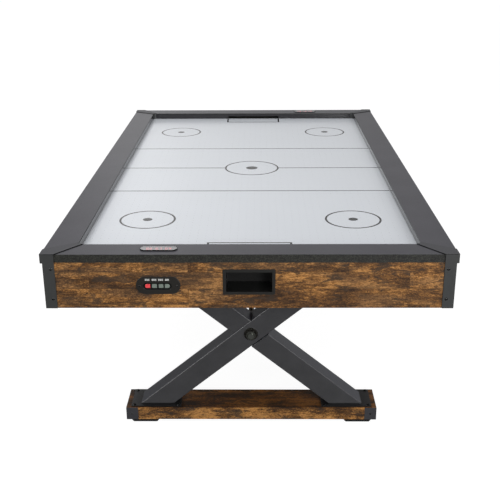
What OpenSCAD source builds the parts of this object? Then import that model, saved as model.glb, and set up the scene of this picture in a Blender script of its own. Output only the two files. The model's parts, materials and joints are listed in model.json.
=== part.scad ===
// Air hockey table, seven-foot size, on two X-shaped leg frames.
// X runs across the table, Y along it and Z up; the control panel faces -Y.
// The origin is on the floor under the middle of the table.

/* [Overall size] */
// Length over the end faces of the corner caps
table_l = 2134; // [2110:2:2160]
// Width over the side faces of the corner caps
table_w = 1219; // [1200:1:1240]
// Height of the corner caps' tops above the floor
table_h = 813; // [800:1:825]

/* [Top rails and playing field] */
// Width of each side rail
side_rail_w = 94; // [88:1:100]
// Width of each end rail
end_rail_w = 88; // [86:1:92]
// Thickness of the rail boards
rail_t = 25; // [21:1:25]
// Depth of the playing surface below the rails' tops
recess_d = 27; // [26:1:30]
// Thickness of the perforated playing surface
field_t = 9.5; // [8:0.5:10]
// Width of the goal slot
goal_w = 256; // [240:2:258]
// Height of the goal slot above the playing surface
goal_h = 13; // [11:1:14]

/* [Cabinet] */
// Height of the cabinet's aprons
apron_h = 145; // [143:1:150]
// Thickness of the apron boards
apron_t = 15; // [14:0.5:16]
// Width of a corner cap's face on the cabinet's end
cap_end_w = 41; // [36:1:46]
// Width of a corner cap's face on the cabinet's side
cap_side_w = 44; // [38:1:50]
// Thickness of the corner caps' wall
cap_t = 2; // [1.5:0.5:2.5]

/* [Leg frames] */
// Distance from the table's middle to the middle of each leg frame
frame_y = 601; // [560:1:640]
// Width of a leg's face
leg_w = 77; // [70:1:80]
// Depth of a leg's section
leg_d = 84; // [76:1:86]
// Radius of the leg tube's corners
leg_r = 3; // [3:0.5:6]
// Wall thickness of the leg's steel tube
leg_wall = 2; // [1.5:0.5:3]
// Height of the crossing of the two legs
cross_z = 349; // [345:1:356]
// Distance from the frame's middle to the middle of each leg's foot
foot_x = 343.6; // [335:0.2:350]

/* [Base] */
// Length of a base beam over its end straps
base_l = 912; // [900:2:930]
// Depth of a base beam over its end straps
base_d = 134; // [126:1:136]
// Height of a base beam
base_h = 49; // [45:1:52]
// Height of the foot pads
pad_h = 14; // [10:1:18]

/* [Controls] */
// Travel of the push buttons
button_travel = 1.5; // [1:0.1:1.6]

/* [Hidden] */
$fn = 48;
e = 0.5;                                  // overcut that keeps cuts clean

// Outer faces, from the outside in
half_w = table_w / 2;
half_l = table_l / 2;
rail_x = half_w - cap_t;
rail_y = half_l - cap_t;
apron_x = rail_x - 6.5;
apron_y = rail_y - 1;
inner_x = apron_x - apron_t;
inner_y = apron_y - apron_t;
open_x = rail_x - side_rail_w;
open_y = rail_y - end_rail_w;

// Heights
rail_top = table_h - cap_t;
rail_bot = rail_top - rail_t;
field_z = rail_top - recess_d;
field_bot = field_z - field_t;
apron_bot = rail_bot - apron_h;
panel_t = 6;
panel_z = field_bot - 46.5;               // underside of the air chamber's floor
chamber_z = panel_z + panel_t;

// Rebound walls
wall_t = 6;
lip_t = 3;                                // rail edge that covers a wall's top
wall_top = rail_top - lip_t;
corner_r = 14;
field_end = open_y + wall_t + 1;          // end of the playing surface
mouth_y = open_y + 3;                     // where it ends at a goal, and the air chamber ends

// Goals and puck returns
return_w = 135.6;
return_z0 = apron_bot + 52;
return_z1 = apron_bot + 114;
return_t = 1.6;
frame_w = 154;
frame_h = 80;
frame_t = 2.5;
chute_w = goal_w + 9;
chute_t = 1.5;
chute_out = inner_y - 0.5;

// Legs, their plates and their bolts
beam_z = base_h + pad_h;
plate_t = 4;
plate_w = 182;
plate_d = 121;
plate_shift = 3.4;
leg_z0 = beam_z + plate_t;
leg_z1 = apron_bot;
leg_angle = atan((cross_z - leg_z0) / foot_x);
top_x = (leg_z1 - cross_z) / tan(leg_angle);
lap_above = 0.5;
lap_below = 3;
cross_r = 10;
bolt_r = 4;
bolt_dx = 81;
bolt_dy = 52;
bolt_len = 34;

// Base straps
strap_w = 43;
strap_t = 1.5;

// Screws in the caps and straps
screw_r = 1.6;
cap_screw_head_r = 4.8;
cap_screw_head_h = 1.8;
strap_screw_head_r = 3.8;
strap_screw_head_h = 1.4;
screw_len = 12;
cap_screw_z = [apron_bot + 30, apron_bot + 125];
cap_screw_x = apron_x - 21.5;
cap_screw_y = half_l - 29;

// Score displays
score_x = 266.5;
score_y = half_l - 48;
lens_l = 109;
lens_w = 32;
lens_t = 3.2;
cup_l = 100.4;
cup_w = 30.4;
cup_t = 1.6;
cup_z = rail_bot + 2;
digit_w = 9.8;
digit_l = 17;
digit_h = 19;
digit_pitch = 10.2;

// Control panel; its modules draw outwards from the apron's face
control_x = -267;
control_z = apron_bot + 73.5;
bezel_l = 131;
bezel_h = 55;
bezel_t = 3;
well_l = 84;
well_h = 22;
well_x = -2.5;                            // the well sits left of the middle
well_z = -3;                              // and a little below it
well_floor = 1;
floor_back = -1;
skirt_l = 100;
skirt_h = 34;
skirt_back = -22;
button_h = 12.2;
button_w = [15, 14.2, 13.4, 14.4];
button_x = [-31.2, -11, 8.3, 26.9];
button_gap = 0.35;
button_out = 1.9;                         // how far a button stands out of the well's floor
button_y = well_z + 1;
switch_top = -9;
board_z = -13.6;
board_t = 1.6;
stem_end = switch_top + button_travel + 0.1;

// Blower, under the middle of the air chamber
can_r = 85;
can_t = 2;
can_bot = panel_z - 62;
flange_r = 100;
inlet_r = 48;
wheel_r = 74;
wheel_z0 = can_bot + 8;
wheel_z1 = can_bot + 42;
spider_z = can_bot + 46;
motor_r = 22;
motor_h = 36;
shaft_r = 3;
shaft_gap = 0.05;

// Power inlet on the rear apron
inlet_x = 450;
inlet_z = apron_bot + 42;

rail_grey = [0.33, 0.33, 0.35];
charcoal = [0.22, 0.22, 0.23];
black = [0.06, 0.06, 0.06];
rustic = [0.42, 0.27, 0.15];
board_brown = [0.62, 0.50, 0.36];
field_white = [0.86, 0.88, 0.90];
steel = [0.62, 0.63, 0.65];
green = [0.10, 0.32, 0.18];

// ---- Shared shapes ----

// A shape drawn in X and Z, given thickness from y0 to y1
module slab(y0, y1) {
  translate([0, y1, 0]) rotate([90, 0, 0]) linear_extrude(y1 - y0) children();
}

// A box from one corner to the other
module block(a, b) {
  translate(a) cube(b - a);
}

// A bar with half-round ends
module stadium(l, w) {
  square([l - w, w], center = true);
  for (s = [-1, 1]) translate([s * (l - w) / 2, 0]) circle(d = w);
}

// The same piece at the rear end and, turned round, at the front end
module rear() children();
module front() rotate([0, 0, 180]) children();
module both_ends() {
  rear() children();
  front() children();
}

// Places a shape on the front apron, drawn outwards from its face
module on_front_apron(x, z) {
  translate([x, -apron_y, z]) rotate([90, 0, 0]) children();
}

// Domed head, its underside at the origin
module dome(r, h) {
  round_r = (r * r + h * h) / (2 * h);
  intersection() {
    translate([0, 0, h - round_r]) sphere(r = round_r);
    cylinder(r = 2 * r, h = 2 * h);
  }
}

// Domed screw, its head's underside at the origin, pointing down
module screw(head_r, head_h, r, len) {
  difference() {
    dome(head_r, head_h);
    for (a = [0, 90]) rotate([0, 0, a])
      translate([-head_r * 0.45, -head_r * 0.1, head_h * 0.5])
        cube([head_r * 0.9, head_r * 0.2, head_h]);
  }
  translate([0, 0, -len]) cylinder(r = r, h = len, $fn = 24);
}

// Hexagon across its flats
module hexagon(flats) circle(d = flats / cos(30), $fn = 6);

// ---- Playing field and air chamber ----

module playfield() {
  color(field_white) difference() {
    block([-inner_x, -field_end, field_bot], [inner_x, field_end, field_z]);
    both_ends() block([-chute_w / 2, mouth_y, field_bot - e],
                      [chute_w / 2, field_end + e, field_z + e]);
  }
}

rib_t = 15;
rib_y = [190, 570];
end_rib_y = mouth_y - rib_t / 2;

// Cross ribs with air windows, and a closed rib at each end of the chamber
module playfield_ribs() {
  color(board_brown) both_ends() {
    for (y = rib_y) translate([0, y, 0]) difference() {
      block([-inner_x, -rib_t / 2, chamber_z], [inner_x, rib_t / 2, field_bot]);
      for (i = [-3:3]) translate([i * 150, 0, (chamber_z + field_bot) / 2])
        cube([90, rib_t + 2 * e, 22], center = true);
    }
    translate([0, end_rib_y, 0])
      block([-inner_x, -rib_t / 2, chamber_z], [inner_x, rib_t / 2, field_bot]);
  }
}

module bottom_panel() {
  color(board_brown) difference() {
    block([-inner_x, -mouth_y, panel_z], [inner_x, mouth_y, chamber_z]);
    translate([0, 0, panel_z - e]) cylinder(r = can_r - can_t - 3, h = panel_t + 2 * e);
    blower_screw_places(0) cylinder(r = screw_r, h = 40, center = true, $fn = 24);
  }
}

cleat = 20;
module support_cleats() {
  color(board_brown) for (s = [-1, 1]) translate([s * (inner_x - cleat / 2), 0, panel_z - cleat / 2])
    cube([cleat, 2 * mouth_y, cleat], center = true);
}

// ---- Top rails and rebound walls ----

// Mitred outline of a side rail on the +X side, from inner corner (ix, iy) outwards
module side_outline(ix, iy) {
  polygon([[ix, -iy], [rail_x, -rail_y], [rail_x, rail_y], [ix, iy]]);
}

// Mitred outline of an end rail on the +Y end
module end_outline(ix, iy) {
  polygon([[-ix, iy], [ix, iy], [rail_x, rail_y], [-rail_x, rail_y]]);
}

seam_w = 3;
seam_d = 2;

// Shadow gap in a rail's top along a cap's edge, from a to b; the rails' outer faces have one too
module seam(a, b) {
  run = b - a;
  translate([a[0], a[1], rail_top - seam_d]) rotate([0, 0, atan2(run[1], run[0])])
    translate([0, -seam_w, 0]) cube([norm(run), 2 * seam_w, seam_d + e]);
}

module side_rail() {
  color(rail_grey) difference() {
    union() {
      translate([0, 0, wall_top]) linear_extrude(lip_t) side_outline(open_x, open_y);
      translate([0, 0, rail_bot]) linear_extrude(rail_t - lip_t)
        side_outline(open_x + wall_t, open_y + wall_t);
    }
    for (s = [0, 1]) mirror([0, s, 0]) {
      seam([half_w, half_l - cap_side_w], [open_x, open_y - corner_r]);
      block([rail_x - seam_d, half_l - cap_side_w - seam_w, rail_bot - e],
            [rail_x + e, half_l - cap_side_w, rail_top + e]);
    }
  }
}

module end_rail() {
  color(rail_grey) difference() {
    union() {
      translate([0, 0, wall_top]) linear_extrude(lip_t) end_outline(open_x, open_y);
      translate([0, 0, rail_bot]) linear_extrude(rail_t - lip_t)
        end_outline(open_x + wall_t, open_y + wall_t);
    }
    block([-chute_w / 2, open_y, rail_bot - e], [chute_w / 2, chute_out, field_z + goal_h]);
    translate([score_x, score_y, rail_bot - e]) linear_extrude(rail_t + 2 * e)
      stadium(cup_l + 0.8, cup_w + 0.8);
    for (s = [0, 1]) mirror([s, 0, 0]) {
      seam([half_w - cap_end_w, half_l], [open_x - corner_r, open_y]);
      block([half_w - cap_end_w - seam_w, rail_y - seam_d, rail_bot - e],
            [half_w - cap_end_w, rail_y + e, rail_top + e]);
    }
  }
}

groove_h = 3;
groove_d = 1.5;

module side_wall() {
  color(charcoal) {
    block([open_x, -open_y - wall_t, field_z + groove_h],
          [open_x + wall_t, open_y + wall_t, wall_top]);
    block([open_x + groove_d, -open_y - wall_t, field_z],
          [open_x + wall_t, open_y + wall_t, field_z + groove_h]);
  }
}

module end_wall() {
  color(charcoal) difference() {
    union() {
      block([-open_x, open_y, field_z + groove_h], [open_x, open_y + wall_t, wall_top]);
      block([-open_x, open_y + groove_d, field_z], [open_x, open_y + wall_t, field_z + groove_h]);
    }
    block([-goal_w / 2, open_y - e, field_z - e],
          [goal_w / 2, open_y + wall_t + e, field_z + goal_h]);
  }
}

// ---- Corner caps ----

// Wedge on top, a rounded inner corner, and a post that runs down both faces.
// Drawn for the corner at +X and +Y.
module cap_wedge() {
  difference() {
    polygon([[half_w, half_l], [half_w - cap_end_w, half_l], [open_x - corner_r, open_y],
             [open_x, open_y - corner_r], [half_w, half_l - cap_side_w]]);
    translate([open_x - corner_r, open_y - corner_r]) circle(r = corner_r);
  }
}

module cap_inner_corner() {
  difference() {
    translate([open_x - corner_r, open_y - corner_r]) square(corner_r);
    translate([open_x - corner_r, open_y - corner_r]) circle(r = corner_r);
  }
}

module corner_cap() {
  x0 = half_w - cap_end_w;
  y0 = half_l - cap_side_w;
  ledge_x = apron_x + cap_t;
  color(charcoal) difference() {
    union() {
      translate([0, 0, rail_top]) linear_extrude(cap_t) cap_wedge();
      translate([0, 0, field_z]) linear_extrude(recess_d) cap_inner_corner();
      block([x0, rail_y, rail_bot], [half_w, half_l, table_h]);
      block([rail_x, y0, rail_bot], [half_w, half_l, table_h]);
      block([apron_x, y0, rail_bot - cap_t], [half_w, half_l, rail_bot]);
      block([x0, apron_y, apron_bot], [ledge_x, half_l, rail_bot]);
      block([apron_x, y0, apron_bot], [ledge_x, half_l, rail_bot]);
    }
    for (z = cap_screw_z) {
      translate([cap_screw_x, apron_y, z]) rotate([90, 0, 0])
        cylinder(r = screw_r, h = 20, center = true, $fn = 24);
      translate([apron_x, cap_screw_y, z]) rotate([0, 90, 0])
        cylinder(r = screw_r, h = 20, center = true, $fn = 24);
    }
  }
}

// Calls its children once for each screw, with +Z pointing out of the face
module cap_screw_places() {
  for (sx = [-1, 1], sy = [-1, 1], z = cap_screw_z) {
    translate([sx * cap_screw_x, sy * half_l, z]) rotate([-90 * sy, 0, 0]) children();
    translate([sx * (apron_x + cap_t), sy * cap_screw_y, z]) rotate([0, 90 * sx, 0]) children();
  }
}

module corner_cap_screws() {
  color(black) cap_screw_places() screw(cap_screw_head_r, cap_screw_head_h, screw_r, screw_len);
}

// ---- Cabinet ----

module screw_holes() {
  cap_screw_places() translate([0, 0, -screw_len]) cylinder(r = screw_r, h = screw_len + e, $fn = 24);
}

module end_apron() {
  difference() {
    block([-apron_x, inner_y, apron_bot], [apron_x, apron_y, rail_bot]);
    block([-return_w / 2 - 1.8, inner_y - e, return_z0 - 1.8],
          [return_w / 2 + 1.8, apron_y + e, return_z1 + 1.8]);
  }
}

module apron_front() {
  color(rustic) difference() {
    front() end_apron();
    screw_holes();
    on_front_apron(control_x, control_z) {
      translate([0, 0, -apron_t - e])
        linear_extrude(apron_t + 2 * e) square([skirt_l + 1, skirt_h + 1], center = true);
      control_screw_places() cylinder(r = screw_r, h = 20, center = true, $fn = 24);
    }
  }
}

module apron_rear() {
  color(rustic) difference() {
    rear() end_apron();
    screw_holes();
    translate([inlet_x, apron_y, inlet_z]) rotate([90, 0, 0])
      cylinder(r = 6, h = 2 * apron_t + 2, center = true, $fn = 32);
  }
}

module side_apron() {
  color(rustic) difference() {
    block([inner_x, -inner_y, apron_bot], [apron_x, inner_y, rail_bot]);
    screw_holes();
  }
}

leg_beam_h = 40;
module leg_beam() {
  color(board_brown) difference() {
    translate([0, frame_y, 0])
      block([-inner_x, -base_d / 2, leg_z1 + plate_t],
            [inner_x, base_d / 2, leg_z1 + plate_t + leg_beam_h]);
    translate([0, frame_y, 0]) plate_bolt_holes();
  }
}

// ---- Goals and puck returns ----

module goal_chute() {
  wing_z = field_bot - 2;
  low_z = return_z1 + return_t + chute_t;
  half = chute_w / 2 - 0.5;
  color(black) {
    block([-half, mouth_y, low_z - chute_t], [half, mouth_y + chute_t, field_z - 1]);
    block([-half, chute_out - chute_t, low_z - chute_t], [half, chute_out, rail_bot]);
    for (s = [-1, 1]) {
      slab(mouth_y, chute_out)
        polygon([[s * (return_w / 2 + 0.2), low_z], [s * (return_w / 2 + 0.2), low_z - chute_t],
                 [s * half, wing_z - chute_t], [s * half, wing_z]]);
      translate([s * (half - chute_t / 2), 0, 0])
        block([-chute_t / 2, mouth_y, wing_z - chute_t], [chute_t / 2, chute_out, field_z - 1]);
    }
  }
}

module puck_return() {
  w = return_w / 2;
  back = mouth_y + 2;
  color(black) {
    difference() {
      block([-w - return_t, back - return_t, return_z0 - return_t],
            [w + return_t, apron_y, return_z1 + return_t]);
      block([-w, back, return_z0], [w, apron_y + e, return_z1]);
      block([-w, back, return_z1 - e], [w, chute_out, return_z1 + return_t + e]);
    }
    difference() {
      translate([0, 0, (return_z0 + return_z1) / 2 + 0.8])
        slab(apron_y, apron_y + frame_t) round_rect(frame_w, frame_h, 4);
      block([-w, apron_y - e, return_z0], [w, apron_y + frame_t + e, return_z1]);
    }
  }
}

module round_rect(l, w, r) {
  square([l - 2 * r, w], center = true);
  square([l, w - 2 * r], center = true);
  for (x = [-1, 1], y = [-1, 1])
    translate([x * (l / 2 - r), y * (w / 2 - r)]) circle(r = r, $fn = 32);
}

// Emitter and receiver blocks beside each goal's chute
module goal_sensors() {
  y = (mouth_y + chute_out) / 2;
  z = field_bot - 8;
  color(green) both_ends() for (s = [-1, 1])
    translate([s * (chute_w / 2 - 0.5), y, z]) {
      translate([s * 5, 0, 0]) cube([10, 14, 9], center = true);
      translate([s * 11, 0, 0]) cube([2, 20, 7], center = true);
    }
}

// ---- Control panel ----

module control_screw_places() {
  for (s = [-1, 1]) translate([s * 54.5, -1.3, 0]) children();
}

// Outline of button i: the outer two have one round end
module button_outline(i, grow = 0) {
  w = button_w[i] + 2 * grow;
  h = button_h + 2 * grow;
  side = i == 0 ? -1 : (i == 3 ? 1 : 0);
  translate([button_x[i], button_y]) {
    if (side == 0) square([w, h], center = true);
    else {
      translate([side * (w - h) / 2, 0]) circle(d = h);
      translate([-side * h / 4, 0]) square([w - h / 2, h], center = true);
    }
  }
}

module control_panel() {
  color(black) on_front_apron(control_x, control_z) difference() {
    union() {
      linear_extrude(bezel_t) stadium(bezel_l, bezel_h);
      translate([0, 0, skirt_back]) linear_extrude(-skirt_back)
        square([skirt_l, skirt_h], center = true);
    }
    translate([well_x, well_z, well_floor]) linear_extrude(bezel_t) stadium(well_l, well_h);
    translate([0, 0, skirt_back - e]) linear_extrude(floor_back - skirt_back + e)
      square([skirt_l - 4, skirt_h - 4], center = true);
    for (i = [0:3]) translate([0, 0, floor_back - e]) linear_extrude(well_floor - floor_back + 2 * e)
      button_outline(i, button_gap);
    control_screw_places() cylinder(r = screw_r, h = 20, center = true, $fn = 24);
  }
}

module push_button(i) {
  flange_top = floor_back - 0.3;
  on_front_apron(control_x, control_z) {
    translate([0, 0, flange_top - e]) linear_extrude(well_floor + button_out - flange_top + e)
      button_outline(i);
    translate([0, 0, flange_top - 1.6]) linear_extrude(1.6) button_outline(i, 1.2);
    translate([button_x[i], button_y, stem_end])
      cylinder(r = 2, h = flange_top - 1.6 - stem_end, $fn = 24);
  }
}

module power_button() color([0.75, 0.10, 0.10]) push_button(0);
module start_button() color([0.55, 0.55, 0.56]) push_button(1);
module sound_button() color([0.55, 0.55, 0.56]) push_button(2);
module mode_button() color([0.55, 0.55, 0.56]) push_button(3);

// Circuit board with a switch behind each button and a main chip
module control_board() {
  color(green) on_front_apron(control_x, control_z) {
    translate([0, 0, board_z]) linear_extrude(board_t)
      square([skirt_l - 4, skirt_h - 4], center = true);
    for (x = button_x) translate([x, button_y, (switch_top + board_z + board_t) / 2])
      cube([6, 6, switch_top - board_z - board_t], center = true);
    translate([0, 8, board_z - 1.5]) cube([14, 8, 3], center = true);
    translate([34, 6, board_z - 3]) cube([12, 10, 6], center = true);
  }
}

module control_screws() {
  color(black) on_front_apron(control_x, control_z) control_screw_places()
    translate([0, 0, bezel_t]) screw(3, 1.4, screw_r, bezel_t + 9);
}

// ---- Score displays ----

module score_cup() {
  color(black) translate([score_x, score_y, 0]) difference() {
    translate([0, 0, cup_z]) linear_extrude(rail_top - cup_z) stadium(cup_l, cup_w);
    translate([0, 0, cup_z + cup_t]) linear_extrude(rail_t)
      stadium(cup_l - 2 * cup_t, cup_w - 2 * cup_t);
  }
}

// Circuit board with three pairs of number blocks: a score, the time and the other score
module score_board() {
  z = cup_z + cup_t;
  color(green) translate([score_x, score_y, z]) {
    linear_extrude(2) stadium(cup_l - 2 * cup_t - 1, cup_w - 2 * cup_t - 1);
    for (x = [-28, 0, 28], s = [-1, 1])
      translate([x + s * digit_pitch / 2, 0, 2 + digit_h / 2])
        cube([digit_w, digit_l, digit_h], center = true);
  }
}

module score_lens() {
  color([0.25, 0.25, 0.27]) translate([score_x, score_y, rail_top])
    linear_extrude(lens_t) stadium(lens_l, lens_w);
}

// ---- Blower ----

module blower_screw_places(z) {
  for (a = [45:90:315]) rotate([0, 0, a]) translate([(can_r + flange_r) / 2, 0, panel_z + z])
    children();
}

module blower_housing() {
  color(black) difference() {
    union() {
      difference() {
        translate([0, 0, can_bot]) cylinder(r = can_r, h = panel_z - can_bot, $fn = 72);
        translate([0, 0, can_bot + can_t])
          cylinder(r = can_r - can_t, h = panel_z - can_bot, $fn = 72);
      }
      difference() {
        translate([0, 0, panel_z - 3]) cylinder(r = flange_r, h = 3, $fn = 72);
        translate([0, 0, panel_z - 4]) cylinder(r = can_r - can_t, h = 5, $fn = 72);
      }
      translate([0, 0, spider_z]) cylinder(r = motor_r + 4, h = 3);
      for (a = [90, 210, 330]) rotate([0, 0, a]) translate([0, -6, spider_z])
        cube([can_r - can_t / 2, 12, 3]);
    }
    translate([0, 0, can_bot - e]) cylinder(r = inlet_r, h = can_t + 2 * e);
    translate([0, 0, spider_z - e]) cylinder(r = 7, h = 4);
    blower_screw_places(0) cylinder(r = screw_r, h = 40, center = true, $fn = 24);
  }
}

module blower_motor() {
  z = spider_z + 3;
  color(steel) difference() {
    union() {
      translate([0, 0, z]) cylinder(r = motor_r, h = motor_h);
      translate([0, 0, z + motor_h]) cylinder(r = 8, h = 3);
    }
    translate([0, 0, z - e]) cylinder(r = shaft_r + shaft_gap, h = motor_h - 4 + e, $fn = 32);
  }
}

module motor_shaft() {
  color(steel) translate([0, 0, wheel_z0 + 14])
    cylinder(r = shaft_r, h = spider_z + 3 + motor_h - 6 - wheel_z0 - 14, $fn = 32);
}

blades = 16;
module blower_impeller() {
  color(charcoal) difference() {
    union() {
      translate([0, 0, wheel_z1 - 2]) cylinder(r = wheel_r, h = 2, $fn = 72);
      translate([0, 0, wheel_z0 + 14]) cylinder(r = 12, h = wheel_z1 - wheel_z0 - 14);
      for (i = [0:blades - 1]) rotate([0, 0, i * 360 / blades])
        translate([52, 0, wheel_z0]) rotate([0, 0, 35])
          cube([24, 1.6, wheel_z1 - wheel_z0 - 1]);
      difference() {
        translate([0, 0, wheel_z0]) cylinder(r = wheel_r, h = 2, $fn = 72);
        translate([0, 0, wheel_z0 - e]) cylinder(r = 53, h = 3, $fn = 72);
      }
    }
    translate([0, 0, wheel_z0 - e]) cylinder(r = shaft_r, h = 60, $fn = 32);
  }
}

grille_t = 2.5;
module intake_grille() {
  color(black) translate([0, 0, can_bot - grille_t]) {
    difference() {
      cylinder(r = inlet_r + 10, h = grille_t);
      translate([0, 0, -e]) cylinder(r = inlet_r, h = grille_t + 2 * e);
    }
    intersection() {
      cylinder(r = inlet_r + 1, h = grille_t);
      union() {
        for (x = [-40:10:40]) translate([x - 1, -inlet_r - 1, 0])
          cube([2, 2 * inlet_r + 2, grille_t]);
        translate([-inlet_r - 1, -1.5, 0]) cube([2 * inlet_r + 2, 3, grille_t]);
      }
    }
  }
}

module blower_screws() {
  color(steel) blower_screw_places(-3) rotate([180, 0, 0]) screw(4, 2.2, screw_r, 8);
}

// ---- Power inlet and internal wires ----

// Barrel socket with its centre pin, fixed in the rear apron
module power_inlet() {
  color(black) translate([inlet_x, apron_y, inlet_z]) rotate([-90, 0, 0]) {
    difference() {
      union() {
        cylinder(r = 9, h = 2, $fn = 36);
        translate([0, 0, -apron_t - 6]) cylinder(r = 6, h = apron_t + 6, $fn = 32);
      }
      translate([0, 0, -8]) cylinder(r = 2.75, h = 12, $fn = 32);
    }
    translate([0, 0, -9]) cylinder(r = 1.05, h = 10, $fn = 24);
  }
}

wire_r = 2.5;
wire_z = panel_z - 5;
wall_y = inner_y - 20;                    // just inside the end aprons' cable runs
sensor_x = chute_w / 2 + 11.6;
sensor_z = field_bot - 8;
wire_routes = [
  // control board to the blower
  [[-267, -wall_y, control_z], [-267, -960, control_z], [-267, -920, wire_z],
   [-267, -100, wire_z], [-250, -60, wire_z], [-130, -30, wire_z], [-110, -10, wire_z - 8],
   [-can_r - 1, 0, wire_z - 14]],
  // control board to the front display
  [[-280, -wall_y, control_z + 8], [-276, -wall_y + 6, panel_z + 10], [-267, -score_y, panel_z + 30],
   [-267, -score_y, cup_z]],
  // control board to the front sensors
  [[-240, -wall_y, control_z], [-220, -wall_y + 5, control_z + 20], [-180, -wall_y + 8, sensor_z],
   [-sensor_x, -wall_y + 8, sensor_z]],
  // control board to the rear sensors
  [[-300, -wall_y, control_z], [-300, -960, control_z], [-300, -920, wire_z],
   [-300, 900, wire_z], [-280, 950, wire_z], [-230, 1000, wire_z], [-180, wall_y - 8, sensor_z - 6],
   [-sensor_x, wall_y - 8, sensor_z]],
  // across the rear end to the rear display
  [[-284, 936, wire_z - 6], [-240, 950, wire_z - 6], [200, 950, wire_z - 6], [250, 960, wire_z - 4],
   [266, 1000, wire_z + 6], [267, score_y, panel_z + 30], [267, score_y, cup_z]],
  // power inlet to the blower
  [[inlet_x, apron_y - 22, inlet_z], [inlet_x, 980, inlet_z + 6], [inlet_x, 930, wire_z],
   [inlet_x, 120, wire_z], [inlet_x - 40, 60, wire_z], [150, 20, wire_z], [112, 6, wire_z - 8],
   [can_r + 1, 0, wire_z - 14]]];
// From one sensor of a goal to the other, under the puck return
sensor_link = [
  [-sensor_x - 4, wall_y - 8, sensor_z - 4], [-sensor_x - 6, wall_y - 8, sensor_z - 20],
  [-110, wall_y - 8, return_z0 - 8], [110, wall_y - 8, return_z0 - 8],
  [sensor_x + 6, wall_y - 8, sensor_z - 20], [sensor_x + 4, wall_y - 8, sensor_z - 4]];

function unit(v) = v / norm(v);
function heading(p, i) =
  unit(p[min(i + 1, len(p) - 1)] - p[max(i - 1, 0)]);

// Eight-sided tube through the points of p
module tube(p, r) {
  sides = 8;
  steady = [0.31, 0.12, 0.94];
  rings = [for (i = [0:len(p) - 1])
    let (t = heading(p, i), n = unit(cross(t, steady)), b = cross(t, n))
      for (k = [0:sides - 1]) p[i] + r * (cos(k * 45) * n + sin(k * 45) * b)];
  skin = [for (i = [0:len(p) - 2], k = [0:sides - 1])
    [i * sides + k, i * sides + (k + 1) % sides,
     (i + 1) * sides + (k + 1) % sides, (i + 1) * sides + k]];
  last = (len(p) - 1) * sides;
  ends = [[for (k = [sides - 1:-1:0]) k], [for (k = [0:sides - 1]) last + k]];
  polyhedron(rings, concat(skin, ends), convexity = 6);
}

module wiring_harness() {
  color([0.12, 0.12, 0.12]) {
    for (route = wire_routes) tube(route, wire_r);
    both_ends() tube(sensor_link, wire_r);
  }
}

// ---- Leg frames ----

// Bar along a leg that rises towards +X, cut level at its plates; inset gives the tube's hollow
module rising_bar(inset) {
  reach = leg_z1 - leg_z0;
  intersection() {
    translate([0, 0, cross_z]) rotate([0, 90 - leg_angle, 0])
      linear_extrude(2 * reach, center = true)
        round_rect(leg_w - 2 * inset, leg_d - 2 * inset, leg_r - inset);
    block([-reach, -leg_d, leg_z0], [reach, leg_d, leg_z1]);
  }
}

// Side view of the other leg, which falls towards +X, drawn in X and Z
module falling_face(above, below) {
  up = above / sin(leg_angle);
  down = below / sin(leg_angle);
  x0 = (cross_z - leg_z0) / tan(leg_angle);
  x1 = (cross_z - leg_z1) / tan(leg_angle);
  polygon([[x0 + up, leg_z0], [x0 - down, leg_z0], [x1 - down, leg_z1], [x1 + up, leg_z1]]);
}

module plate_places() {
  for (p = [[-foot_x - plate_shift, beam_z], [top_x + plate_shift, leg_z1]])
    translate([p[0], 0, p[1]]) children();
}

module plate_bolt_holes() {
  for (s = [-1, 1], p = [[foot_x + plate_shift, beam_z], [top_x + plate_shift, leg_z1]])
    for (x = [-1, 1], y = [-1, 1])
      translate([s * p[0] + x * bolt_dx, y * bolt_dy, p[1] - bolt_len])
        cylinder(r = bolt_r, h = 2 * bolt_len + plate_t, $fn = 24);
}

// Box tube between two welded plates. Its rear half is cut away at the crossing,
// where the other leg, the same part turned round, fills the gap.
module leg() {
  half = leg_w / 2;
  gap = half + leg_wall;
  color(charcoal) difference() {
    union() {
      difference() {
        rising_bar(0);
        slab(0, leg_d) falling_face(half + lap_above, half + lap_below);
        difference() {
          rising_bar(leg_wall);
          slab(-leg_wall, leg_d) falling_face(gap + lap_above, gap + lap_below);
        }
      }
      plate_places() difference() {
        translate([-plate_w / 2, -plate_d / 2, 0]) cube([plate_w, plate_d, plate_t]);
        for (x = [-1, 1], y = [-1, 1]) translate([x * bolt_dx, y * bolt_dy, -e])
          cylinder(r = bolt_r, h = plate_t + 2 * e, $fn = 24);
      }
    }
    translate([0, 0, cross_z]) rotate([90, 0, 0])
      cylinder(r = cross_r, h = 2 * leg_d, center = true);
  }
}

module leg_frame_rising() translate([0, -frame_y, 0]) leg();
module leg_frame_falling() translate([0, -frame_y, 0]) rotate([0, 0, 180]) leg();

module leg_rising_front() leg_frame_rising();
module leg_falling_front() leg_frame_falling();
module leg_rising_rear() rotate([0, 0, 180]) leg_frame_rising();
module leg_falling_rear() rotate([0, 0, 180]) leg_frame_falling();

washer_r = 24.5;
washer_t = 3;
nut_h = 12;
nut_w = 32;
// Rod through both crossings, with a washer and a nut against each face of each frame
module tie_rod() {
  half = leg_d / 2;
  color(black) for (a = [0, 180]) rotate([0, 0, a]) translate([0, -frame_y, cross_z]) {
    for (y = [-half - washer_t, half]) slab(y, y + washer_t) difference() {
      circle(r = washer_r);
      circle(r = cross_r);
    }
    for (y = [-half - washer_t - nut_h, half + washer_t]) slab(y, y + nut_h) difference() {
      hexagon(nut_w);
      circle(r = cross_r);
    }
    slab(-half - washer_t - nut_h - 6, frame_y) circle(r = cross_r);
  }
}

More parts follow.
